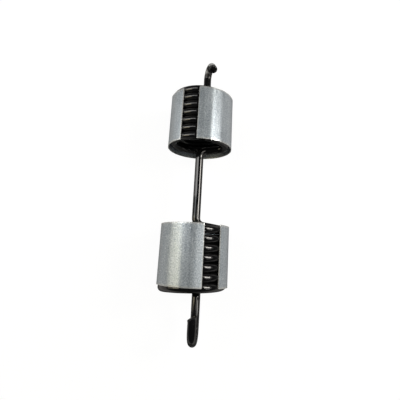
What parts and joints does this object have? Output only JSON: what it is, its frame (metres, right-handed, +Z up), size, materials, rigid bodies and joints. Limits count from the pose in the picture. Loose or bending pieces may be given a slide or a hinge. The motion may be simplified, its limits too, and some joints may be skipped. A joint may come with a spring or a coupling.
{
  "type": "brake shoe return spring",
  "caption": "Drum brake tension spring of black wire: coils in split zinc sleeves, joined by a straight shank, with a hook at each end.",
  "frame": {"origin": "middle of the spring's length and width, on the surface that its sleeves lie on", "axes": "+Y along the spring towards its short hook, +Z up from the surface that it lies on"},
  "size_m": [0.034, 0.1476, 0.034],
  "materials": {
    "black_wire": "gloss black",
    "zinc_sheet": "satin zinc"
  },
  "bodies": {
    "root": {"spring_wire": "black_wire", "upper_sleeve": "zinc_sheet", "lower_sleeve": "zinc_sheet"}
  },
  "joints": []
}
